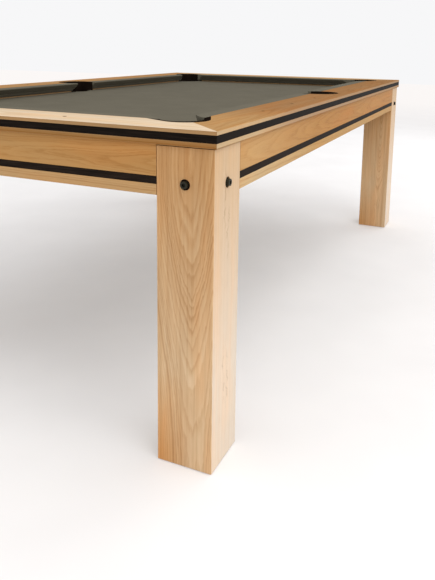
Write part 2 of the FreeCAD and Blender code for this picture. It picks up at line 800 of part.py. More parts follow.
rail_top = dim("overall_height")
sights = []
for side, (corner, length) in SIDES.items():
    name = "rail_" + side
    blank = bind(moulding(name + "_blank", rail_section(), size(0), length), z=rail_low)
    tools = mitre_cutters(name, length, rail_low, rail_top)
    tools += pocket_cutouts(name, side, rail_low, rail_top)
    for i, along in enumerate(rail_bolt_places(side)):
        deep = dim("rail_bolt_length") - dim("slate_thick") - dim("cloth_thick") + 1
        radius = dim("rail_bolt_radius") + dim("fit_gap") / 2
        tools.append(rod(f"{name}_bolt_{i}", (along, dim("rail_bolt_in"), rail_low), radius, deep))
    sight_low = rail_top - dim("sight_deep")
    for i, along in enumerate(sight_places(side)):
        radius = dim("sight_radius") + dim("fit_gap") / 6
        at = (along, dim("sight_in"), sight_low)
        tools.append(rod(f"{name}_sight_{i}", at, radius, dim("sight_deep")))
        x, y = on_table(corner, along, dim("sight_in"))
        sights.append(rod(f"sight_{side}_{i}", (x, y, sight_low), dim("sight_radius"), dim("sight_deep")))
    keep(name, stand_at(cut(name, blank, tools), corner))

    inlay = name.replace("rail", "rail_inlay")
    face, back = dim("inlay_recess"), dim("inlay_depth")
    low = rail_low + dim("rail_inlay_low")
    strip = box(inlay + "_strip", (0, face, low), (length, back, low + dim("inlay_height")))
    ends = mitre_cutters(inlay, length, low, low + dim("inlay_height"))
    keep(inlay, stand_at(cut(inlay, strip, ends), corner))
keep("rail_sights", group("rail_sights", sights))

# ---------------------------------------------------------------- aprons and their inlays


def apron_section(inset, top):
    """Section of an apron in y (inwards) and z (above its lower edge)."""
    ease, groove = dim("edge_ease"), inset + dim("inlay_depth")
    low, high = dim("apron_inlay_low"), dim("apron_inlay_low") + dim("inlay_height")
    return [
        (inset + ease, 0), (beam_outer, 0), (beam_outer, top), (inset, top), (inset, high),
        (groove, high), (groove, low), (inset, low), (inset, ease),
    ]


for side, (corner, length) in SIDES.items():
    name = "apron_" + side
    inset = dim("leg_inset")
    top = rail_low - dim("apron_low") - (0 if is_long(side) else dim("end_apron_gap"))
    start = leg_inner + dim("apron_end_gap")
    apron = moulding(name, apron_section(inset, top), size(0), length - 2 * start)
    apron.Placement.Rotation = corner_turn(corner)
    x, y = on_table(corner, start, size(0))
    keep(name, bind(apron, x=x, y=y, z=dim("apron_low")))

    inlay = "apron_inlay_" + side
    low = dim("apron_low") + dim("apron_inlay_low")
    strip = board(
        inlay,
        corner,
        (start, inset + dim("inlay_recess"), low),
        (length - start, inset + dim("inlay_depth"), low + dim("inlay_height")),
    )
    keep(inlay, strip)

# ---------------------------------------------------------------- cushions and their cloth



def rubber_section():
    """Section of a cushion's rubber: flat top, pointed nose and undercut face."""
    cloth, back = dim("cloth_thick"), dim("rail_body")
    top = dim("rail_height") - dim("rebate_drop")
    tip = nose_in - cloth
    tip_high = dim("nose_high")
    under = [(tip - x, tip_high - z) for x, z in UNDERCUT]
    return [
        (back, under[1][1]), under[1], under[0], (tip - 1, tip_high - NOSE_STEEP),
        (tip, tip_high), (tip - NOSE_STEEP, top), (back, top),
    ]


def cloth_section():
    """Section of the cloth wrapped over the rubber, from the cloth line to under the cushion."""
    cloth = dim("cloth_thick")
    rubber = rubber_section()
    back_low, low, middle, nose_low, tip, nose_top, back_top = rubber
    wood = dim("rail_wood")
    outside = [
        (wood, back_top[1] + cloth),
        (nose_top[0] + 0.4 * cloth, nose_top[1] + cloth),
        (tip[0] + cloth, tip[1]),
        (nose_low[0] + 0.9 * cloth, nose_low[1] - 0.5 * cloth),
        (middle[0] + 0.8 * cloth, middle[1] - 0.7 * cloth),
        (low[0] + 0.5 * cloth, low[1] - cloth),
        (back_low[0], back_low[1] - cloth),
    ]
    inside = [back_low, low, middle, nose_low, tip, nose_top, back_top, (wood, back_top[1])]
    return list(reversed(outside + inside))


CUSHIONS = {  # cushion: (side, which stretch of that side, counted along x)
    "cushion_front": ("front", "whole"),
    "cushion_right_front": ("right", "first"),
    "cushion_right_rear": ("right", "second"),
    "cushion_rear": ("rear", "whole"),
    "cushion_left_rear": ("left", "first"),
    "cushion_left_front": ("left", "second"),
}
CUSHION_ENDS = {  # which pockets a stretch of cushion lies between
    "whole": ("corner_near", "corner_far"),
    "first": ("corner_near", "side_far"),
    "second": ("side_near", "corner_far"),
}


def end_cutters(name, length, stretch, low, high):
    """What to take off the two ends of a cushion, beyond its facings."""
    def wedge(tag, nose_along, turn, sign):
        """Beyond the facing of a nose; sign is the way from the nose towards the pocket."""
        reach = [facing((size(0), nose_in), turn, r) for r in (FACING_BEFORE, FACING_CUTTER)]
        near, far = [(nose_along - sign * point[0], point[1]) for point in reach]
        away = [(nose_along + sign * CUTTER_SIDE, point[1]) for point in (far, near)]
        return prism(f"{name}_{tag}", [near, far] + away, low, high)

    half = length / 2
    ends = {
        "corner_near": (corner_nose_along, CORNER_MOUTH_TURN, -1),
        "corner_far": (length - corner_nose_along, CORNER_MOUTH_TURN, 1),
        "side_near": (half + side_nose_along, SIDE_MOUTH_TURN, -1),
        "side_far": (half - side_nose_along, SIDE_MOUTH_TURN, 1),
    }
    return [wedge(tag, *ends[tag]) for tag in CUSHION_ENDS[stretch]]


def throat_cutters(name, side, low, high):
    """Round cutters that keep a side's cushions out of the pockets' throats."""
    length, at = SIDES[side][1], dim("corner_pocket")
    corners = [
        rod(f"{name}_throat_{i}", (along, at, low), bucket_radius, high - low)
        for i, along in enumerate((at, length - at))
    ]
    return corners + side_cutouts(name, side, low, high)


def make_run(name, section, side, stretch):
    """A length of moulding along a rail, with its ends shaped for the pockets."""
    corner, length = SIDES[side]
    start = {"second": length / 2}.get(stretch, dim("corner_pocket"))
    end = {"first": length / 2}.get(stretch, length - dim("corner_pocket"))
    blank = bind(moulding(name + "_run", section, start, end - start), z=rail_low)
    tools = end_cutters(name, length, stretch, rail_low, rail_top)
    tools += throat_cutters(name, side, rail_low, rail_top)
    return stand_at(cut(name, blank, [fuse(name + "_ends", tools)]), corner)


cushion_cloths = []
for name, (side, stretch) in CUSHIONS.items():
    keep(name, make_run(name, rubber_section(), side, stretch))
    cloth_name = name.replace("cushion", "cushion_cloth")
    cushion_cloths.append(make_run(cloth_name, cloth_section(), side, stretch))
keep("cushion_cloths", group("cushion_cloths", cushion_cloths))

# ---------------------------------------------------------------- pockets

collar_high = rail_top - dim("collar_drop")


def corner_collar(name):
    """Fills a corner cut-out of the rails up to the line where the cushions begin."""
    shape = corner_cutout(name + "_shape", rail_low, collar_high, grow=-dim("fit_gap"))
    begin, end = dim("rail_wood") - dim("fit_gap"), dim("rail_wood") + 2 * FLARE_REACH
    cushions = box(name + "_cushions", (begin, begin, rail_low), (end, end, collar_high))
    return cut(name, shape, [cushions])


def make_pocket(name, centre, collar, mouth):
    """Moulded pocket: a collar that fills the rails' cut-out, over a bucket in the slate."""
    x, y = centre
    low, rim = dim("bucket_low"), slate_high - BUCKET_RIM
    neck = rod(name + "_neck", (x, y, rim), bucket_radius, rail_low - rim)
    open_collar = cut(name + "_open", fuse(name + "_top", [collar, neck]), [mouth])
    bucket = rod(name + "_bucket", (x, y, low), bucket_radius, rim - low)
    inside = rod(
        name + "_inside", (x, y, low + BUCKET_FLOOR), dim("throat_radius"), rail_top - low
    )
    return cut(name, fuse(name + "_body", [open_collar, bucket]), [inside])


mouth_low = slate_high - 2 * BUCKET_RIM
for corner in CORNERS:
    name = "pocket_" + corner
    centre = (dim("corner_pocket"), dim("corner_pocket"))
    mouth = corner_mouth_cutter(name + "_mouth", mouth_low, rail_top)
    keep(name, stand_at(make_pocket(name, centre, corner_collar(name + "_collar"), mouth), corner))
for side in ("left", "right"):
    name = "pocket_" + side
    corner, length = SIDES[side]
    centre = (length / 2, dim("side_pocket"))
    collar = rod(
        name + "_collar",
        centre + (rail_low,),
        dim("side_cutout") - dim("fit_gap"),
        collar_high - rail_low,
    )
    mouth = side_mouth_cutter(name + "_mouth", length / 2, mouth_low, rail_top)
    keep(name, stand_at(make_pocket(name, centre, collar, mouth), corner))

# ---------------------------------------------------------------- check and export

doc.recompute()
failed = [obj.Label for obj in doc.Objects if {"Invalid", "Error"} & set(obj.State)]
broken = [name for name, piece in parts.items() if piece.Shape.isNull() or not piece.Shape.isValid()]
if failed or broken:
    raise SystemExit(f"failed features: {failed}; broken shapes: {broken}")

os.makedirs("parts", exist_ok=True)
for name, piece in parts.items():
    piece.Shape.exportStep(f"parts/{name}.step")
    print(f"{name}: {len(piece.Shape.Solids)} solid(s), {piece.Shape.Volume / 1000:.1f} cm3")
print(len(parts), "sub-parts")
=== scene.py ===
import math

import bmesh
import bpy
from mathutils import Matrix, Vector


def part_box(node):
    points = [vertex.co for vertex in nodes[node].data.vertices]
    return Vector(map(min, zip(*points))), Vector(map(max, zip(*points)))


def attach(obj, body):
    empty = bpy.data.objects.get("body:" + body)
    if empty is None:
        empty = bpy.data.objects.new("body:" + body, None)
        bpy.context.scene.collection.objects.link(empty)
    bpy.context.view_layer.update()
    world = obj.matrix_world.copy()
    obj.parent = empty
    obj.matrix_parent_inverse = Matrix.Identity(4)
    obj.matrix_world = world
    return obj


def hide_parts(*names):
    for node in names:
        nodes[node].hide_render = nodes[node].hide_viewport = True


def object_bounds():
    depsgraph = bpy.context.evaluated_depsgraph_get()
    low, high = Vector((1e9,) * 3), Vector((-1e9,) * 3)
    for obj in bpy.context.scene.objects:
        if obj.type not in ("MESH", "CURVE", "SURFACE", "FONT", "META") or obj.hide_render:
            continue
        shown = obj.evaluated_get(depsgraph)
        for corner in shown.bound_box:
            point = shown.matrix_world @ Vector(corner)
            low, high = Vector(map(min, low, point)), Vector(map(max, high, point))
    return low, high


# Pool table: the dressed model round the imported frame. Metres, +X across the table, +Y along it, +Z up,
# with the origin on the floor under the table's centre. "Front" is the short side at -Y.

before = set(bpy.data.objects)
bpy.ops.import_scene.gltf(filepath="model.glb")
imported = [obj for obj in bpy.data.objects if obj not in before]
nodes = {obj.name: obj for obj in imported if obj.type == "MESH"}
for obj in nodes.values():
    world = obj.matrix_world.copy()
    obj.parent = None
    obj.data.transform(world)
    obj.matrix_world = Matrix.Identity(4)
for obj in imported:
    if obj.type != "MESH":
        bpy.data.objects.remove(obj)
cad_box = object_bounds()
scene = bpy.context.scene

# ---------------------------------------------------------------- sizes that follow the frame

HALF_WIDTH, HALF_LENGTH, TOP = cad_box[1]
MM = 0.001
SAME_PLACE = 1e-6  # points of a mesh closer than this are one
RAIL_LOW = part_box("rail_front")[0].z
SLATE_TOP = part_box("slate_middle")[1].z
NOSE_IN = 177 * MM  # outer edge to a cushion's nose
CORNER_POCKET = 165 * MM  # outer edges to a corner pocket's centre
SIDE_POCKET = 118 * MM  # outer edge to a side pocket's centre
THROAT = 58.6 * MM  # the corner cushions keep out of this radius round a pocket
SIDE_CUTOUT = 76 * MM
CORNER_MOUTH = 118 * MM
SIDE_MOUTH = 128 * MM
CORNER_TURN = math.radians(38)  # how far a corner facing turns back from the nose line
SIDE_TURN = math.radians(76)
LEG_MIDDLE = 76 * MM  # outer edges to a leg's middle
LEG_INSET = 7.5 * MM  # outer edge to a leg's outer face
SLATE_EDGE = 30 * MM  # outer edge to the slates
SLATE_HOLE = 60 * MM
CLOTH = 1.0 * MM

# ---------------------------------------------------------------- camera

IMAGE_LONG_SIDE = 580
FOCAL_PIXELS = 630.35
SENSOR = 36.0
SHIFT_UP = -0.23005
CAMERA_PLACE = (1.19353, -2.31084, 0.95067)
YAW, PITCH, ROLL = math.radians(24.425), math.radians(10.0296), math.radians(0.7186)


def make_camera():
    level = math.cos(PITCH)
    forward = Vector((-math.sin(YAW) * level, math.cos(YAW) * level, -math.sin(PITCH)))
    right = Vector((math.cos(YAW), math.sin(YAW), 0))
    up = right.cross(forward)
    right, up = (
        right * math.cos(ROLL) + up * math.sin(ROLL),
        up * math.cos(ROLL) - right * math.sin(ROLL),
    )
    data = bpy.data.cameras.new("camera")
    data.sensor_fit = "AUTO"
    data.sensor_width = SENSOR
    data.lens = FOCAL_PIXELS * SENSOR / IMAGE_LONG_SIDE
    data.shift_y = SHIFT_UP
    data.clip_start, data.clip_end = 0.05, 60
    camera = bpy.data.objects.new("camera", data)
    turn = Matrix((right, up, -forward)).transposed().to_4x4()
    camera.matrix_world = Matrix.Translation(CAMERA_PLACE) @ turn
    scene.collection.objects.link(camera)
    scene.camera = camera


make_camera()

# ---------------------------------------------------------------- shader helpers


def from_srgb(red, green, blue):
    """A colour given as 0 to 255 screen values, as the linear colour that shaders take."""
    def linear(value):
        value /= 255
        return value / 12.92 if value <= 0.04045 else ((value + 0.055) / 1.055) ** 2.4

    return (linear(red), linear(green), linear(blue), 1.0)


class Shader:
    """A material's node tree. Inputs may be numbers, tuples or the sockets of other nodes."""

    def __init__(self, name, **surface):
        self.material = bpy.data.materials.new(name)
        self.material.use_nodes = True
        self.tree = self.material.node_tree
        self.surface = self.tree.nodes["Principled BSDF"]
        for socket, value in surface.items():
            self.surface.inputs[socket.replace("_", " ")].default_value = value

    def node(self, kind, inputs=(), **settings):
        made = self.tree.nodes.new("ShaderNode" + kind)
        for key, value in settings.items():
            setattr(made, key, value)
        for key, value in dict(inputs).items():
            self.feed(made.inputs[key], value)
        return made

    def feed(self, socket, value):
        if isinstance(value, bpy.types.NodeSocket):
            self.tree.links.new(value, socket)
        else:
            socket.default_value = value

    def math(self, operation, *values):
        return self.node("Math", enumerate(values), operation=operation).outputs[0]

    def hypot(self, x, y):
        squares = [self.math("MULTIPLY", value, value) for value in (x, y)]
        return self.math("SQRT", self.math("ADD", *squares))

    def where(self):
        """Where a point is on the object, in metres."""
        return self.node("TexCoord").outputs["Object"]

    def split(self, vector):
        return self.node("SeparateXYZ", {0: vector}).outputs

    def join(self, x, y, z):
        return self.node("CombineXYZ", enumerate((x, y, z))).outputs[0]

    def stretched(self, *parts):
        """A point from three coordinates, each of them a value or a pair of a value and its scale."""
        return self.join(*(
            self.math("MULTIPLY", *part) if isinstance(part, tuple) else part for part in parts
        ))

    def noise(self, vector, scale, detail=2.0, roughness=0.5, distortion=0.0):
        inputs = {
            "Vector": vector, "Scale": scale, "Detail": detail,
            "Roughness": roughness, "Distortion": distortion,
        }
        return self.node("TexNoise", inputs).outputs[0]

    def ramp(self, factor, stops):
        made = self.node("ValToRGB", {"Fac": factor})
        elements = made.color_ramp.elements
        while len(elements) < len(stops):
            elements.new(0.5)
        for element, (place, colour) in zip(elements, stops):
            element.position = place
            element.color = colour if hasattr(colour, "__len__") else (colour, colour, colour, 1)
        return made.outputs[0]

    def remap(self, value, from_low, from_high, to_low, to_high):
        inputs = enumerate((value, from_low, from_high, to_low, to_high))
        return self.node("MapRange", inputs).outputs[0]

    def eased(self, value, begin, end):
        """The value itself between begin and end, levelling out softly towards both."""
        inputs = enumerate((value, begin, end, begin, end))
        return self.node("MapRange", inputs, interpolation_type="SMOOTHSTEP").outputs[0]

    def mix(self, factor, first, second, blend="MIX"):
        made = self.node("Mix", data_type="RGBA", blend_type=blend)
        for index, value in ((0, factor), (6, first), (7, second)):
            self.feed(made.inputs[index], value)
        return made.outputs[2]

    def tinted(self, colour, shade, amount=1.0):
        """The colour multiplied by a shade, which is a socket or three numbers, by some amount."""
        shade = shade if isinstance(shade, bpy.types.NodeSocket) else (*shade, 1.0)
        return self.mix(amount, colour, shade, "MULTIPLY")

    def colour(self, value):
        self.feed(self.surface.inputs["Base Color"], value)

    def roughness(self, value):
        self.feed(self.surface.inputs["Roughness"], value)

    def bump(self, height, distance, strength=1.0):
        inputs = {"Height": height, "Distance": distance, "Strength": strength}
        self.feed(self.surface.inputs["Normal"], self.node("Bump", inputs).outputs[0])


# ---------------------------------------------------------------- wood

OAK = {"light": (219, 178, 130), "middle": (203, 157, 108), "dark": (170, 121, 74)}
PINE = {"light": (231, 204, 158), "middle": (220, 187, 136), "dark": (191, 147, 92)}
GROWTH_RING = [(0.0, 0.25), (0.10, 0.0), (0.42, 0.66), (0.86, 1.0), (1.0, 0.25)]  # from spring to spring
SLOW_TONES = [
    (0.25, (1.05, 0.96, 0.85, 1)), (0.5, (0.97, 0.985, 0.97, 1)), (0.75, (0.93, 0.99, 1.04, 1)),
]
LONG_STREAKS = [
    (0.32, (0.89, 0.85, 0.80, 1)), (0.5, (1.0, 1.0, 1.0, 1)), (0.68, (1.06, 1.09, 1.13, 1)),
]
# painted highlight along the eased edges, where light catches them
EDGE_HIGHLIGHT = (1.18, 1.28, 1.42)
WAVY_LINE = from_srgb(158, 124, 88)
AXES = {"x": 0, "y": 1, "z": 2}


def boards(shader, grain, across, deep, pith_across, pith_deep, slope, seed, spacing, wander,
           pointed=0.0, bend=None):
    """Growth rings round a pith line, cut by whatever face they meet.

    grain, across and deep are sockets with the distance along, across and into the board. The pith
    comes nearer by slope for each metre along the grain, between the two places in bend if there are
    any, and pointed sharpens the arches that this makes. Gives (rings, broad bands, pores)."""
    drift = shader.noise(shader.stretched((grain, 1.3), (across, 7.0), seed), 1.0, 2.0)
    drift = shader.math("MULTIPLY_ADD", drift, wander, -wander / 2)
    ripple = shader.noise(shader.stretched((grain, 14.0), (across, 90.0), seed + 3.7), 1.0, 3.0, 0.65)
    ripple = shader.math("MULTIPLY_ADD", ripple, spacing * 1.1, -spacing * 0.55)
    side = shader.math("SUBTRACT", across, pith_across)
    side = shader.math("ADD", side, shader.math("MULTIPLY", drift, 0.8))
    depth = shader.math("SUBTRACT", deep, pith_deep)
    run = shader.eased(grain, *bend) if bend else grain
    depth = shader.math("ADD", depth, shader.math("MULTIPLY", run, slope))
    radius = shader.math("ADD", shader.hypot(side, depth), shader.math("ADD", drift, ripple))
    radius = shader.math("MULTIPLY_ADD", shader.math("ABSOLUTE", side), pointed, radius)
    uneven = shader.noise(shader.join(radius, seed, 0.0), 0.22 / spacing, 2.0)
    turns = shader.math("DIVIDE", radius, spacing)
    turns = shader.math("ADD", turns, shader.math("MULTIPLY", uneven, 4.0))
    rings = shader.ramp(shader.math("FRACT", turns), GROWTH_RING)
    bands = shader.noise(shader.join(radius, seed + 9.1, 0.0), 0.5 / spacing, 2.0, 0.55)
    pores = shader.noise(shader.stretched((grain, 22.0), (across, 620.0), (deep, 620.0)), 1.0, 2.0, 0.6)
    pores = shader.remap(pores, 0.50, 0.72, 0.0, 1.0)
    return rings, bands, pores


def wood_colour(shader, palette, rings, bands, pores, contrast, tone):
    """Colour of a wood surface from its rings, bands and pores. tone is a slow change of shade."""
    light, middle, dark = (from_srgb(*palette[key]) for key in ("light", "middle", "dark"))
    shade = shader.math("MULTIPLY_ADD", rings, 0.22, shader.math("MULTIPLY", bands, 0.78))
    shade = shader.remap(shade, 0.5 - 0.5 / contrast, 0.5 + 0.5 / contrast, 0.0, 1.0)
    ground = shader.ramp(shade, [(0.0, dark), (0.45, middle), (1.0, light)])
    deep_pore = shader.math("MULTIPLY", pores, shader.math("SUBTRACT", 1.0, rings))
    ground = shader.mix(shader.math("MULTIPLY", deep_pore, 0.55), ground, dark)
    return shader.tinted(ground, shader.ramp(tone, SLOW_TONES))


def wavy_line(shader, along, where, seed, axis, place, wander, begin, end, strongest):
    """How strongly a thin wandering line shows at a point. It runs along the grain from begin to end."""
    at = shader.noise(shader.stretched((along, 30.0), seed, 0.0), 1.0, 3.0, 0.6)
    off = shader.math("MULTIPLY_ADD", at, wander, place - wander / 2)
    away = shader.math("ABSOLUTE", shader.math("SUBTRACT", where[AXES[axis]], off))
    middle, half = (begin + end) / 2, (end - begin) / 2
    strength = shader.math("ABSOLUTE", shader.math("SUBTRACT", along, middle))
    strength = shader.remap(strength, half, half * 0.6, 0.0, strongest)
    broken = shader.noise(shader.stretched((along, 48.0), seed + 3.9, 0.0), 1.0, 1.0)
    strength = shader.math("MULTIPLY", strength, shader.remap(broken, 0.40, 0.55, 0.15, 1.0))
    return shader.math("MULTIPLY", shader.remap(away, 0.0040, 0.0006, 0.0, 1.0), strength)


def edge_highlight(shader, facing):
    """How strongly a point takes the painted highlight: on the eased edges, where no face of the board
    is, but not underneath.
    """
    across, along, up = (shader.math("ABSOLUTE", value) for value in facing)
    steepest = shader.math("MAXIMUM", shader.math("MAXIMUM", across, along), up)
    highlit = shader.math("MULTIPLY", shader.math("LESS_THAN", steepest, 0.92), 0.7)
    return shader.math("MULTIPLY", highlit, shader.math("GREATER_THAN", facing[2], -0.3))


def progress(shader, where, axis, begin, end):
    """How far a point has come along an axis, as 0 at begin and 1 at end."""
    return shader.remap(where[AXES[axis]], begin, end, 0.0, 1.0)


def wood(name, grain, across, pith, slope, seed, palette=OAK, tint=(1, 1, 1), spacing=0.0042,
         contrast=1.25, wander=0.02, pointed=0.0, bend=None, gloss=0.04, streaked=False, stain=(),
         quartered=None, side_painted_light=(1, 1, 1), lines=(), shades=()):
    """Lacquered wood. grain and across name axes, and pith is (across, into the board).

    streaked adds long streaks, and stain darkens a corner: two (axis, from, to) rows and a shade.
    quartered is the axis whose faces show straight grain instead, as a board sawn the other way,
    with side_painted_light in place of tint: painted light and shade on those faces. lines are the
    wavy ones in them. shades are rows of (axis, from, to, shade), which change the shade along an
    axis."""
    shader = Shader(name, Roughness=0.5, IOR=1.47, Specular_IOR_Level=gloss)
    where = shader.split(shader.where())
    along, side = where[AXES[grain]], where[AXES[across]]
    deep = where[3 - AXES[grain] - AXES[across]]
    rings, bands, pores = boards(
        shader, along, side, deep, *pith, slope, seed, spacing, wander, pointed, bend
    )
    slow = shader.noise(shader.stretched((along, 3.6), (side, 22.0), (deep, 22.0)), 1.0, 2.0)
    colour = wood_colour(shader, palette, rings, bands, pores, contrast, slow)
    colour = shader.tinted(colour, tint)
    if streaked:
        streaks = shader.stretched((along, 1.8), (side, 120.0), (deep, 120.0))
        streaks = shader.ramp(shader.noise(streaks, 1.0, 3.0, 0.6), LONG_STREAKS)
        colour = shader.tinted(colour, streaks)
    if stain:
        *rows, shade = stain
        colour = shader.tinted(
            colour, shade, shader.math("MULTIPLY", *(progress(shader, where, *row) for row in rows))
        )
    height = shader.math("SUBTRACT", rings, pores)
    facing = shader.split(shader.node("NewGeometry").outputs["Normal"])
    if quartered:
        straight = boards(
            shader, along, deep, side, pith[1] + 0.35, pith[0] + 0.05, 0.004, seed + 21.0,
            spacing * 0.8, wander * 0.5,
        )
        fine = wood_colour(shader, palette, *straight, contrast * 0.62, slow)
        fine = shader.tinted(fine, side_painted_light)
        for index, line in enumerate(lines):
            strength = wavy_line(shader, along, where, 4.4 + 7.0 * index, *line)
            fine = shader.mix(strength, fine, WAVY_LINE)
        square_on = shader.math("ABSOLUTE", facing[AXES[quartered]])
        which = shader.math("GREATER_THAN", square_on, 0.75)
        colour = shader.mix(which, colour, fine)
        height = shader.math("SUBTRACT", height, shader.math("MULTIPLY", which, rings))
    # painted highlight on the eased edges, except those facing down
    colour = shader.tinted(colour, EDGE_HIGHLIGHT, edge_highlight(shader, facing))
    for *row, shade in shades:
        colour = shader.tinted(colour, shade, progress(shader, where, *row))
    shader.colour(colour)
    shader.roughness(shader.math("MULTIPLY_ADD", pores, 0.14, 0.42))
    shader.bump(height, 0.00012, 0.5)
    return shader.material


# ---------------------------------------------------------------- other materials


def black_stain(name, grain, lift=1.0):
    """Black stained wood with its grain just showing."""
    shader = Shader(name, Roughness=0.6, IOR=1.45, Specular_IOR_Level=0.02)
    scales = [18.0 if axis == grain else 700.0 for axis in AXES]
    where = shader.stretched(*zip(shader.split(shader.where()), scales))
    streaks = shader.noise(where, 1.0, 3.0, 0.6)
    dark, pale = ([value * lift for value in shade] for shade in ((17, 13, 10), (34, 27, 22)))
    shader.colour(shader.ramp(streaks, [(0.35, from_srgb(*dark)), (0.7, from_srgb(*pale))]))
    shader.roughness(shader.remap(streaks, 0.3, 0.7, 0.42, 0.62))
    shader.bump(streaks, 0.00008, 0.6)
    return shader.material


CLOTH_GREY = (94, 89, 76)


def billiard_cloth(name, shade):
    """Worsted wool: a fine twill, flecked yarn and a soft nap."""
    shader = Shader(name, Roughness=0.95, Sheen_Weight=0.05, Sheen_Roughness=0.45,
                    Sheen_Tint=from_srgb(170, 162, 146), Specular_IOR_Level=0.03)
    where = shader.where()
    x, y, z = shader.split(where)
    ribs = shader.math("ADD", shader.math("ADD", x, y), z)
    ribs = shader.math("SINE", shader.math("MULTIPLY", ribs, 5200.0))
    flecks = shader.noise(where, 900.0, 2.0, 0.7)
    cloudy = shader.noise(where, 9.0, 3.0, 0.55)
    colour = shader.ramp(flecks, [
        (0.30, from_srgb(*(value * shade * 0.90 for value in CLOTH_GREY))),
        (0.70, from_srgb(*(value * shade * 1.08 for value in CLOTH_GREY))),
    ])
    soft = shader.ramp(cloudy, [(0.3, 0.93), (0.7, 1.04)])
    shader.colour(shader.tinted(colour, soft))
    shader.bump(shader.math("MULTIPLY_ADD", ribs, 0.25, flecks), 0.00015, 0.5)
    return shader.material


def moulded(name, dark, pale, grain_scale, rough, bump=0.00008, gloss=0.02):
    """Moulded rubber or plastic with a fine texture, in soft patches of darker and paler colour."""
    shader = Shader(name, IOR=1.5, Specular_IOR_Level=gloss)
    where = shader.where()
    grain = shader.noise(where, grain_scale, 3.0, 0.6)
    patches = shader.noise(where, 24.0, 3.0, 0.6)
    shader.colour(shader.ramp(patches, [(0.35, from_srgb(*dark)), (0.75, from_srgb(*pale))]))
    shader.roughness(shader.remap(grain, 0.3, 0.7, rough - 0.08, rough + 0.1))
    shader.bump(grain, bump, 0.6)
    return shader.material


def metal(name, dark, pale, rough, metallic, gloss=0.5):
    """Plated or blackened steel, with fine scuffs."""
    shader = Shader(name, Metallic=metallic, Specular_IOR_Level=gloss)
    where = shader.where()
    scuffs = shader.noise(where, 420.0, 4.0, 0.65)
    patches = shader.noise(where, 60.0, 2.0)
    shader.colour(shader.ramp(patches, [(0.3, from_srgb(*dark)), (0.7, from_srgb(*pale))]))
    shader.roughness(shader.remap(scuffs, 0.3, 0.7, rough - 0.08, rough + 0.12))
    shader.bump(scuffs, 0.00003, 0.5)
    return shader.material


def slate_stone(name):
    """Honed slate, in thin layers and with fine specks."""
    shader = Shader(name, Roughness=0.7, IOR=1.5)
    where = shader.where()
    x, y, z = shader.split(where)
    layers = shader.noise(shader.stretched(x, y, (z, 26.0)), 16.0, 5.0, 0.6)
    specks = shader.noise(where, 700.0, 2.0, 0.7)
    colour = shader.ramp(layers, [(0.3, from_srgb(70, 74, 78)), (0.7, from_srgb(104, 108, 110))])
    speckled = shader.ramp(specks, [(0.3, 0.35), (0.7, 0.75)])
    shader.colour(shader.mix(0.25, colour, speckled, "OVERLAY"))
    shader.roughness(shader.remap(specks, 0.3, 0.7, 0.6, 0.82))
    shader.bump(layers, 0.0003, 0.5)
    return shader.material


# ---------------------------------------------------------------- frame materials


def dress(names, material):
    """Gives a CAD node, or a list of them, its material."""
    for name in [names] if isinstance(names, str) else names:
        data = nodes[name].data
        data.materials.clear()
        data.materials.append(material)
        for face in data.polygons:
            face.material_index = 0


CORNERS = {
    "front_left": (-1, -1), "front_right": (1, -1), "rear_right": (1, 1), "rear_left": (-1, 1),
}
SIDES = {"front": "x", "right": "y", "rear": "x", "left": "y"}  # and the axis each one runs along
PADS = ["leveller_pad_" + corner for corner in CORNERS]
STEMS = ["leveller_stem_" + corner for corner in CORNERS]
POCKETS = ["pocket_" + corner for corner in CORNERS] + ["pocket_left", "pocket_right"]
# painted light on the legs: the front darker at the top as painted shade under the rail, paler downwards
# as painted light from the floor, and the outer sides paler and bluer as painted daylight
LEG_LOOK = {
    "spacing": 0.0022, "pointed": 0.05, "bend": (0.06, 0.70), "streaked": True,
    "tint": (0.80, 0.75, 0.70), "quartered": "x", "side_painted_light": (0.98, 1.14, 1.49),
    "shades": [("z", 0.70, 0.22, (1.24, 1.51, 2.03))],
}
FOOT_STAIN = (0.91, 0.70, 0.48)
FIGURE = [  # wavy figure in the front right leg's outer side
    ("y", -HALF_LENGTH + 0.063, 0.040, 0.53, 0.70, 0.55),
    ("y", -HALF_LENGTH + 0.082, 0.060, 0.48, 0.61, 0.50),
    ("y", -HALF_LENGTH + 0.066, 0.034, 0.14, 0.29, 0.50),
    ("y", -HALF_LENGTH + 0.088, 0.036, 0.12, 0.27, 0.45),
]


def dress_leg(corner, seed):
    """A leg whose grain arches on the table's end, with a foot that is stained on its inner side."""
    x_sign, y_sign = CORNERS[corner]
    middle_x = x_sign * (HALF_WIDTH - LEG_MIDDLE)
    face_y = y_sign * (HALF_LENGTH - LEG_INSET)
    pith = (middle_x + 0.018, face_y - y_sign * 0.200)
    stain_x = ("x", middle_x + x_sign * 0.036, middle_x - x_sign * 0.050)
    dress("leg_" + corner, wood(
        "oak_leg_" + corner, "z", "x", pith, -y_sign * 0.050, seed,
        stain=(stain_x, ("z", 0.24, 0.03), FOOT_STAIN),
        lines=FIGURE if corner == "front_right" else (), **LEG_LOOK,
    ))


for number, corner in enumerate(CORNERS, start=1):
    dress_leg(corner, 11.0 * number)

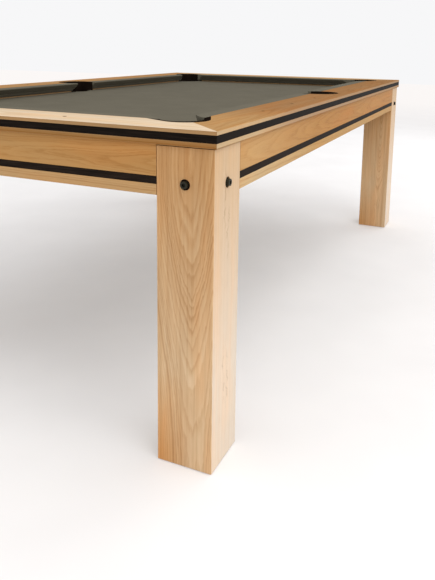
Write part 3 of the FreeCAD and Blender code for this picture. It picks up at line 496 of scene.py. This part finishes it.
RAIL_TINTS = {  # the rail's top, its outer face, and more shades; the face tints paint the light that falls on the outer faces
    # the front top is paler as painted glare; its shades darken the strip below the inlay, then paint the
    # shadow under the rail's lower edge
    "front": ((1.0, 1.30, 1.95), (0.60, 0.595, 0.59), (
        ("z", 0.757, 0.750, (0.82, 0.71, 0.53)), ("z", 0.7475, 0.743, (0.78, 0.63, 0.44)),
    )),
    "right": ((0.50, 0.44, 0.41), (0.64, 0.71, 0.94), (("y", -0.66, -0.95, (1.3, 1.42, 1.38)),)),
    "rear": ((0.82, 0.90, 1.0), (0.70, 0.70, 0.68), ()),
    "left": ((0.66, 0.62, 0.58), (0.72, 0.74, 0.80), ()),
}
APRON_TINTS = {  # the board above the inlay, the board below it against that, and more shades, with painted light
    # the front board is darker as painted shade under the rail; the boards below the inlays are paler,
    # partly their own wood and partly painted light from the floor
    "front": ((0.71, 0.64, 0.49), (1.07, 1.25, 1.65), ()),
    "right": ((0.68, 0.54, 0.30), (1.09, 1.33, 1.8), (("y", -0.40, -0.95, (1.22, 1.47, 2.2)),)),
    "rear": ((0.72, 0.61, 0.43), (1.12, 1.35, 1.8), ()),
    "left": ((0.72, 0.61, 0.41), (1.12, 1.35, 1.8), ()),
}
BELOW_INLAY = ("z", 0.668, 0.658)
OUTER = {  # side: where its outer face is, and which way is inwards
    "front": (-HALF_LENGTH, 1), "right": (HALF_WIDTH, -1),
    "rear": (HALF_LENGTH, -1), "left": (-HALF_WIDTH, 1),
}


def dress_rail(side, seed):
    axis, (outer, inward) = SIDES[side], OUTER[side]
    across = "y" if axis == "x" else "x"
    top, face, more = RAIL_TINTS[side]
    dress("rail_" + side, wood(
        "oak_rail_" + side, axis, across, (outer + inward * 0.045, TOP - 0.075), 0.018, seed,
        tint=top, side_painted_light=face, quartered=across, contrast=0.95, shades=more, gloss=0.0,
    ))
    dress("rail_inlay_" + side, black_stain("black_stain_rail_" + side, axis))


def dress_apron(side, seed):
    axis, (outer, inward) = SIDES[side], OUTER[side]
    above, below, more = APRON_TINTS[side]
    dress("apron_" + side, wood(
        "oak_apron_" + side, axis, "z", (0.700, outer + inward * 0.055), 0.026 * inward, seed,
        tint=above, contrast=1.0, wander=0.035, shades=((*BELOW_INLAY, below), *more),
    ))
    dress("apron_inlay_" + side, black_stain("black_stain_apron_" + side, axis, 1.3))


for number, side in enumerate(SIDES, start=1):
    dress_rail(side, 37.0 * number)
    dress_apron(side, 53.0 * number)


def pine(name, grain, across, pith, seed):
    return wood(name, grain, across, pith, 0.01, seed, palette=PINE, spacing=0.006)


dress("leg_base_blocks", pine("pine_blocks", "z", "x", (0.0, 0.1), 71.0))
dress(
    ["side_beam_left", "side_beam_right", "centre_stringers"],
    pine("pine_long", "y", "x", (0.2, 0.6), 73.0),
)
dress(
    ["end_beam_front", "end_beam_rear", "cross_beams", "corner_blocks"],
    pine("pine_cross", "x", "y", (0.2, 0.6), 79.0),
)
dress("rail_sights", moulded("dark_wood_sight", (30, 17, 9), (46, 27, 15), 900.0, 0.6, gloss=0.0))
dress(["slate_front", "slate_middle", "slate_rear"], slate_stone("honed_slate"))
dress("leg_bolts", metal("black_oxide", (34, 32, 24), (50, 48, 37), 0.5, 0.3, 0.2))
dress("leg_bolt_washers", metal("black_washer", (26, 14, 4), (42, 24, 7), 0.65, 0.1, 0.1))
dress(
    ["leg_bolt_inserts", "rail_bolts", "slate_screws", "leveller_nuts", *STEMS],
    metal("zinc_plate", (158, 158, 155), (188, 188, 184), 0.34, 1.0),
)
dress(PADS, moulded("foot_plastic", (22, 22, 23), (36, 36, 37), 1400.0, 0.5))
dress(POCKETS, moulded("pocket_rubber", (22, 16, 12), (34, 26, 20), 1100.0, 0.7, 0.00015, 0.0))
CUSHIONS = {  # cushion: its side, and the kinds of pocket that it lies between
    "cushion_front": ("front", "corner", "corner"),
    "cushion_right_front": ("right", "corner", "side"),
    "cushion_right_rear": ("right", "side", "corner"),
    "cushion_rear": ("rear", "corner", "corner"),
    "cushion_left_rear": ("left", "corner", "side"),
    "cushion_left_front": ("left", "side", "corner"),
}
dress(list(CUSHIONS), moulded("gum_rubber", (44, 38, 34), (60, 52, 46), 500.0, 0.6))

# ---------------------------------------------------------------- cushion cloth

FRAMES = {  # side: the corner it starts at, and the way it runs, with the table on its left
    "front": ((-HALF_WIDTH, -HALF_LENGTH), (1, 0)),
    "right": ((HALF_WIDTH, -HALF_LENGTH), (0, 1)),
    "rear": ((HALF_WIDTH, HALF_LENGTH), (-1, 0)),
    "left": ((-HALF_WIDTH, HALF_LENGTH), (0, -1)),
}
RUBBER = [  # section of the rubber: in from the rail's outer edge, and up from the rail's underside
    (127.0, 36.1), (173.8, 36.1), (176.0, 35.2), (175.0, 33.0), (158.0, 16.0), (150.0, 6.0),
    (145.0, 6.0),
]
RUBBER_BACK = Vector((128 * MM, 6 * MM))  # the section's low corner, beside the rail
RUBBER_HEART = Vector((156 * MM, 24 * MM))  # a place inside the section, where a cover's ends close
ROUND_STEPS = 5


def side_length(side):
    return 2 * (HALF_WIDTH if SIDES[side] == "x" else HALF_LENGTH)


def on_table(side, along, inward, height):
    (x, y), (dx, dy) = FRAMES[side]
    return Vector((x + along * dx - inward * dy, y + along * dy + inward * dx, height))


def wrapped(points, off):
    """The line round the outside of a section at a distance off, round at its corners."""
    points = [Vector(p) * MM for p in points]
    outward = []
    for first, second in zip(points, points[1:]):
        way = (second - first).normalized()
        outward.append(Vector((-way.y, way.x)))
    line = [points[0] + outward[0] * off]
    for corner, before, after in zip(points[1:-1], outward, outward[1:]):
        turn = before.angle_signed(after)
        for step in range(ROUND_STEPS + 1):
            part = Matrix.Rotation(-turn * step / ROUND_STEPS, 2) @ before
            line.append(corner + part * off)
    line.append(points[-1] + outward[-1] * off)
    return line


def beyond(kind, inward):
    """How far a pocket's cushion end is from the pocket's own middle, along the rail, at a depth."""
    if kind == "corner":
        nose, turn = NOSE_IN + CORNER_MOUTH / math.sqrt(2) - CORNER_POCKET, CORNER_TURN
        radius, centre = THROAT, CORNER_POCKET
    else:
        nose, turn = SIDE_MOUTH / 2, SIDE_TURN
        radius, centre = SIDE_CUTOUT, SIDE_POCKET
    facing = nose - (NOSE_IN - inward) / math.tan(turn)
    arc = math.sqrt(max(radius ** 2 - (centre - inward) ** 2, 0))
    return max(facing, arc)


def ends_of(side, start, end, inward):
    """Where a cushion starts and ends along its side, at a depth from the outer edge."""
    length = side_length(side)
    middle = {"corner": CORNER_POCKET, "side": length / 2}
    first = middle[start] + beyond(start, inward)
    last_middle = length - CORNER_POCKET if end == "corner" else length / 2
    return first, last_middle - beyond(end, inward)


def divided(line, longest):
    """The same line with points added, so that no run of it is longer than the longest."""
    points = [line[0]]
    for before, after in zip(line, line[1:]):
        runs = max(1, math.ceil((after - before).length / longest))
        points += [before.lerp(after, i / runs) for i in range(1, runs + 1)]
    return points


COVER_REACH = 0.9 * MM  # how far the cover goes past the end of the rubber
COVER_FOLD = 1.4 * MM  # radius of its fold round the rubber's end
COVER_FOLDS = [  # how far along and how far inwards the fold's rings are
    (COVER_FOLD * (1 - math.cos(a)), COVER_FOLD * (1 - math.sin(a)))
    for a in (math.radians(degrees) for degrees in (0, 22, 45, 68))
]
COVER_SPANS = 40
COVER_STEP = 4 * MM  # longest run of a ring
CAP_SHARES = (0.0, 0.2, 0.4, 0.6, 0.8)
SHEET_THICK = 0.8 * CLOTH


def cloth_piece(name, data, material, node):
    """An object for a cloth's mesh, which is its upper face. It stands for a CAD node."""
    piece = bpy.data.objects.new(name, data)
    scene.collection.objects.link(piece)
    thick = piece.modifiers.new("thickness", "SOLIDIFY")
    thick.thickness, thick.offset = SHEET_THICK, -1
    data.materials.append(material)
    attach(piece, "root")
    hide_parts(node)
    return piece


def cover_mesh(name, side, start, end, section):
    """Cloth round a cushion's section, folded down over both of its ends."""
    back = divided([section[-1], RUBBER_BACK, section[0]], COVER_STEP)
    mesh = bmesh.new()

    def row(part, shift, pull=0.0, share=0.0, line=section):
        """A ring of the cover, by its part of the way along and a shift from there.

        It is drawn towards the section's heart by a length, and then by a share of the way."""
        made = []
        for point in line:
            inwards = RUBBER_HEART - point
            at = point + inwards.normalized() * min(pull, inwards.length)
            at = at.lerp(RUBBER_HEART, share)
            first, last = ends_of(side, start, end, min(at.x, NOSE_IN))
            first, last = first - COVER_REACH, last + COVER_REACH
            along = first + (last - first) * part + shift
            made.append(mesh.verts.new(on_table(side, along, at.x, RAIL_LOW + at.y)))
        return made

    def skin(rows):
        for before, after in zip(rows, rows[1:]):
            for i in range(len(before) - 1):
                mesh.faces.new((before[i], before[i + 1], after[i + 1], after[i]))

    def cap(part):
        """Closes an end, behind the cushion as well, where the rail is cut away for the pocket."""
        for line in (section, back):
            rows = [row(part, 0.0, COVER_FOLD, share, line) for share in CAP_SHARES]
            skin(rows)
            hub, = row(part, 0.0, line=[RUBBER_HEART])
            for one, other in zip(rows[-1], rows[-1][1:]):
                mesh.faces.new((one, other, hub))

    parts = [i / COVER_SPANS for i in range(COVER_SPANS + 1)]
    skin([
        *(row(0, deep, pull) for deep, pull in COVER_FOLDS),
        *(row(part, COVER_FOLD * (1 - 2 * part)) for part in parts),
        *(row(1, -deep, pull) for deep, pull in reversed(COVER_FOLDS)),
    ])
    cap(0)
    cap(1)
    bmesh.ops.remove_doubles(mesh, verts=mesh.verts, dist=SAME_PLACE)
    bmesh.ops.recalc_face_normals(mesh, faces=mesh.faces)
    data = bpy.data.meshes.new(name)
    mesh.to_mesh(data)
    mesh.free()
    for face in data.polygons:
        face.use_smooth = True
    return data


def cover_cushion(cushion, side, start, end, material):
    name = cushion.replace("cushion", "cover")
    section = divided(wrapped(RUBBER, CLOTH), COVER_STEP)
    data = cover_mesh(name, side, start, end, section)
    piece = cloth_piece(name, data, material, "cushion_cloths")


# the same cloth as the bed's, 3% lighter as painted light on the cushions
cushion_cloth = billiard_cloth("billiard_cloth_cushions", 1.03)
for cushion, (side, start, end) in CUSHIONS.items():
    cover_cushion(cushion, side, start, end, cushion_cloth)

# ---------------------------------------------------------------- bed cloth

ARC_STEPS = 64
BED_TOP = SLATE_TOP + CLOTH
BED_HOLE = SLATE_HOLE - 0.2 * MM
BED_X, BED_Y = HALF_WIDTH - SLATE_EDGE, HALF_LENGTH - SLATE_EDGE
SIDE_POCKET_X = HALF_WIDTH - SIDE_POCKET
CORNER_MIDDLES = [
    Vector((x_sign * (HALF_WIDTH - CORNER_POCKET), y_sign * (HALF_LENGTH - CORNER_POCKET)))
    for x_sign, y_sign in CORNERS.values()
]
POCKET_MIDDLES = CORNER_MIDDLES + [Vector((sign * SIDE_POCKET_X, 0)) for sign in (-1, 1)]
TURN_DOWN = [(0.1, 0.5), (0.25, 1.6), (0.3, 5.0), (0.3, 11.0)]  # inwards and down, in millimetres


def nearest_pocket(point):
    flat = Vector((point.x, point.y))
    return min(POCKET_MIDDLES, key=lambda middle: (middle - flat).length)


def on_rim(edge):
    """Whether an edge of the bed's cloth is on the rim of a pocket's hole."""
    gaps = [(nearest_pocket(v.co) - Vector((v.co.x, v.co.y))).length - BED_HOLE for v in edge.verts]
    return edge.is_boundary and all(abs(gap) < 0.5 * MM for gap in gaps)


def corner_hole(middle):
    turns = (2 * math.pi * i / ARC_STEPS for i in range(ARC_STEPS))
    return [
        (middle.x + BED_HOLE * math.cos(turn), middle.y + BED_HOLE * math.sin(turn)) for turn in turns
    ]


def side_notch(sign):
    """The outline's run round a side pocket's notch, from its one end at the table's edge."""
    half = ARC_STEPS // 2
    points = [(sign * BED_X, -sign * BED_HOLE), (sign * SIDE_POCKET_X, -sign * BED_HOLE)]
    for turn in (math.pi * step / half for step in range(1, half)):
        x = sign * (SIDE_POCKET_X - BED_HOLE * math.sin(turn))
        points.append((x, -sign * BED_HOLE * math.cos(turn)))
    return points + [(sign * SIDE_POCKET_X, sign * BED_HOLE), (sign * BED_X, sign * BED_HOLE)]


def filled(name, loops):
    """A flat mesh inside the first loop and outside the others."""
    curve = bpy.data.curves.new(name, "CURVE")
    curve.dimensions, curve.fill_mode = "2D", "BOTH"
    for loop in loops:
        spline = curve.splines.new("POLY")
        spline.points.add(len(loop) - 1)
        for point, (x, y) in zip(spline.points, loop):
            point.co = (x, y, 0, 1)
        spline.use_cyclic_u = True
    outline = bpy.data.objects.new(name, curve)
    scene.collection.objects.link(outline)
    data = bpy.data.meshes.new_from_object(outline)
    bpy.data.objects.remove(outline)
    return data


def turn_down(mesh):
    """Draws the cloth's rims down into the pocket holes."""
    rim = [edge for edge in mesh.edges if on_rim(edge)]
    for inwards, drop in TURN_DOWN:
        made = bmesh.ops.extrude_edge_only(mesh, edges=rim)["geom"]
        rim = [g for g in made if isinstance(g, bmesh.types.BMEdge) and g.is_boundary]
        for vertex in {v for edge in rim for v in edge.verts}:
            middle = nearest_pocket(vertex.co)
            out = Vector((vertex.co.x - middle.x, vertex.co.y - middle.y))
            shift = out.normalized() * inwards * MM
            vertex.co.x -= shift.x
            vertex.co.y -= shift.y
            vertex.co.z = BED_TOP - drop * MM


def put_in_order(mesh):
    """Sorts edges and faces by their vertices, since extruding leaves them in another order each run."""
    mesh.verts.index_update()
    step = len(mesh.verts)
    for elements in (mesh.edges, mesh.faces):
        elements.sort(key=lambda element: sum(
            index / step ** power
            for power, index in enumerate(sorted(vertex.index for vertex in element.verts))
        ))


def lay_bed_cloth():
    """Cloth stretched over the slates, and turned down into each pocket hole."""
    outline = [(BED_X, -BED_Y), *side_notch(1), (BED_X, BED_Y)]
    outline += [(-BED_X, BED_Y), *side_notch(-1), (-BED_X, -BED_Y)]
    data = filled("bed_outline", [outline, *(corner_hole(middle) for middle in CORNER_MIDDLES)])
    mesh = bmesh.new()
    mesh.from_mesh(data)
    bmesh.ops.remove_doubles(mesh, verts=mesh.verts, dist=SAME_PLACE)
    for vertex in mesh.verts:
        vertex.co.z = BED_TOP
    turn_down(mesh)
    put_in_order(mesh)
    bmesh.ops.recalc_face_normals(mesh, faces=mesh.faces)
    mesh.to_mesh(data)
    mesh.free()
    data.name = "bed_cloth_fitted"
    material = billiard_cloth("billiard_cloth_bed", 1.0)
    piece = cloth_piece("bed_cloth_fitted", data, material, "bed_cloth")
    cut = 2 * BED_X * 2 * BED_Y - 5 * math.pi * BED_HOLE ** 2  # four holes and two half ones
    cut -= 4 * BED_HOLE * (BED_X - SIDE_POCKET_X)


lay_bed_cloth()

# ---------------------------------------------------------------- softened moulded and metal edges


def ease_edges(names, width, segments=2):
    """Rounds the edges that show on a CAD node, as a modifier, so that its own mesh stays as it is."""
    for name in names:
        piece = nodes[name]
        weld = piece.modifiers.new("weld", "WELD")
        weld.merge_threshold = SAME_PLACE
        flat = piece.modifiers.new("flat", "DECIMATE")
        flat.decimate_type, flat.angle_limit = "DISSOLVE", math.radians(1)
        bevel = piece.modifiers.new("ease", "BEVEL")
        bevel.width, bevel.segments = width, segments
        bevel.limit_method, bevel.angle_limit = "ANGLE", math.radians(40)
        bevel.harden_normals = True


ease_edges(POCKETS, 1.6 * MM, 3)
ease_edges(["leg_bolts"], 0.5 * MM)
ease_edges(PADS, 0.8 * MM)

# ---------------------------------------------------------------- floor, light and world

FLOOR_REACH = 15.0
FLOOR_LOST = (3.4, 9.0)  # how far out the floor starts to fade into the background, and is lost
FLOOR_GLOW = 0.22  # the least that it glows where it is seen


def seen_not_lit(tree):
    """1 on the rays that show a surface, straight or by gloss or glass, and 0 on those that light."""
    paths = tree.nodes.new("ShaderNodeLightPath")
    seen = paths.outputs["Is Camera Ray"]
    for name in ("Is Glossy Ray", "Is Transmission Ray"):
        either = tree.nodes.new("ShaderNodeMath")
        either.operation = "MAXIMUM"
        tree.links.new(seen, either.inputs[0])
        tree.links.new(paths.outputs[name], either.inputs[1])
        seen = either.outputs[0]
    return seen


def make_floor():
    """A pale floor that keeps the shadows, and glows a little more the further it is away."""
    data = bpy.data.meshes.new("floor")
    corners = [(-1, -1), (1, -1), (1, 1), (-1, 1)]
    points = [(x * FLOOR_REACH, y * FLOOR_REACH, 0) for x, y in corners]
    data.from_pydata(points, [], [(0, 1, 2, 3)])
    floor = bpy.data.objects.new("floor", data)
    scene.collection.objects.link(floor)
    shader = Shader("floor", Roughness=0.9, Specular_IOR_Level=0.2)
    spots = shader.noise(shader.where(), 3.0, 2.0)
    ground = shader.ramp(spots, [(0.3, from_srgb(238, 236, 235)), (0.7, from_srgb(243, 241, 240))])
    x, y, _ = shader.split(shader.where())
    lost = shader.remap(shader.hypot(x, y), *FLOOR_LOST, 0.0, 1.0)
    glow = shader.math("MULTIPLY", seen_not_lit(shader.tree), FLOOR_GLOW)
    lost = shader.math("MAXIMUM", lost, glow)
    shader.colour(shader.mix(lost, ground, (0, 0, 0, 1)))
    shader.feed(shader.surface.inputs["Emission Color"], from_srgb(246, 242, 240))
    shader.feed(shader.surface.inputs["Emission Strength"], lost)
    data.materials.append(shader.material)


def make_lamp(name, place, target, power, size, colour=(1, 1, 1)):
    data = bpy.data.lights.new(name, "AREA")
    data.energy, data.color = power, colour
    data.shape, data.size, data.size_y = "RECTANGLE", size[0], size[1]
    lamp = bpy.data.objects.new(name, data)
    lamp.location = place
    lamp.rotation_mode = "QUATERNION"
    lamp.rotation_quaternion = (Vector(target) - Vector(place)).to_track_quat("-Z", "Y")
    scene.collection.objects.link(lamp)


def make_world():
    world = bpy.data.worlds.new("studio")
    scene.world = world
    world.use_nodes = True
    tree = world.node_tree
    light, shown = (tree.nodes.new("ShaderNodeBackground") for _ in range(2))
    both = tree.nodes.new("ShaderNodeMixShader")
    light.inputs["Color"].default_value = (0.97, 0.98, 1.0, 1)
    light.inputs["Strength"].default_value = 0.96
    shown.inputs["Color"].default_value = from_srgb(247, 247, 248)
    shown.inputs["Strength"].default_value = 1.0
    tree.links.new(seen_not_lit(tree), both.inputs[0])
    tree.links.new(light.outputs[0], both.inputs[1])
    tree.links.new(shown.outputs[0], both.inputs[2])
    tree.links.new(both.outputs[0], tree.nodes["World Output"].inputs["Surface"])


make_floor()
make_lamp("key", (2.3, -1.7, 3.5), (0.4, -1.0, 0.5), 64, (2.6, 2.6), (1.0, 0.99, 0.975))
make_lamp("fill", (-2.6, -3.8, 2.4), (0.2, -1.0, 0.4), 16, (3.0, 3.0), (0.98, 0.985, 1.0))
make_lamp("back", (2.6, 4.2, 2.0), (0.4, -0.2, 0.0), 44, (3.0, 2.0), (1.0, 0.995, 0.99))
make_world()
scene.view_settings.view_transform = "Standard"
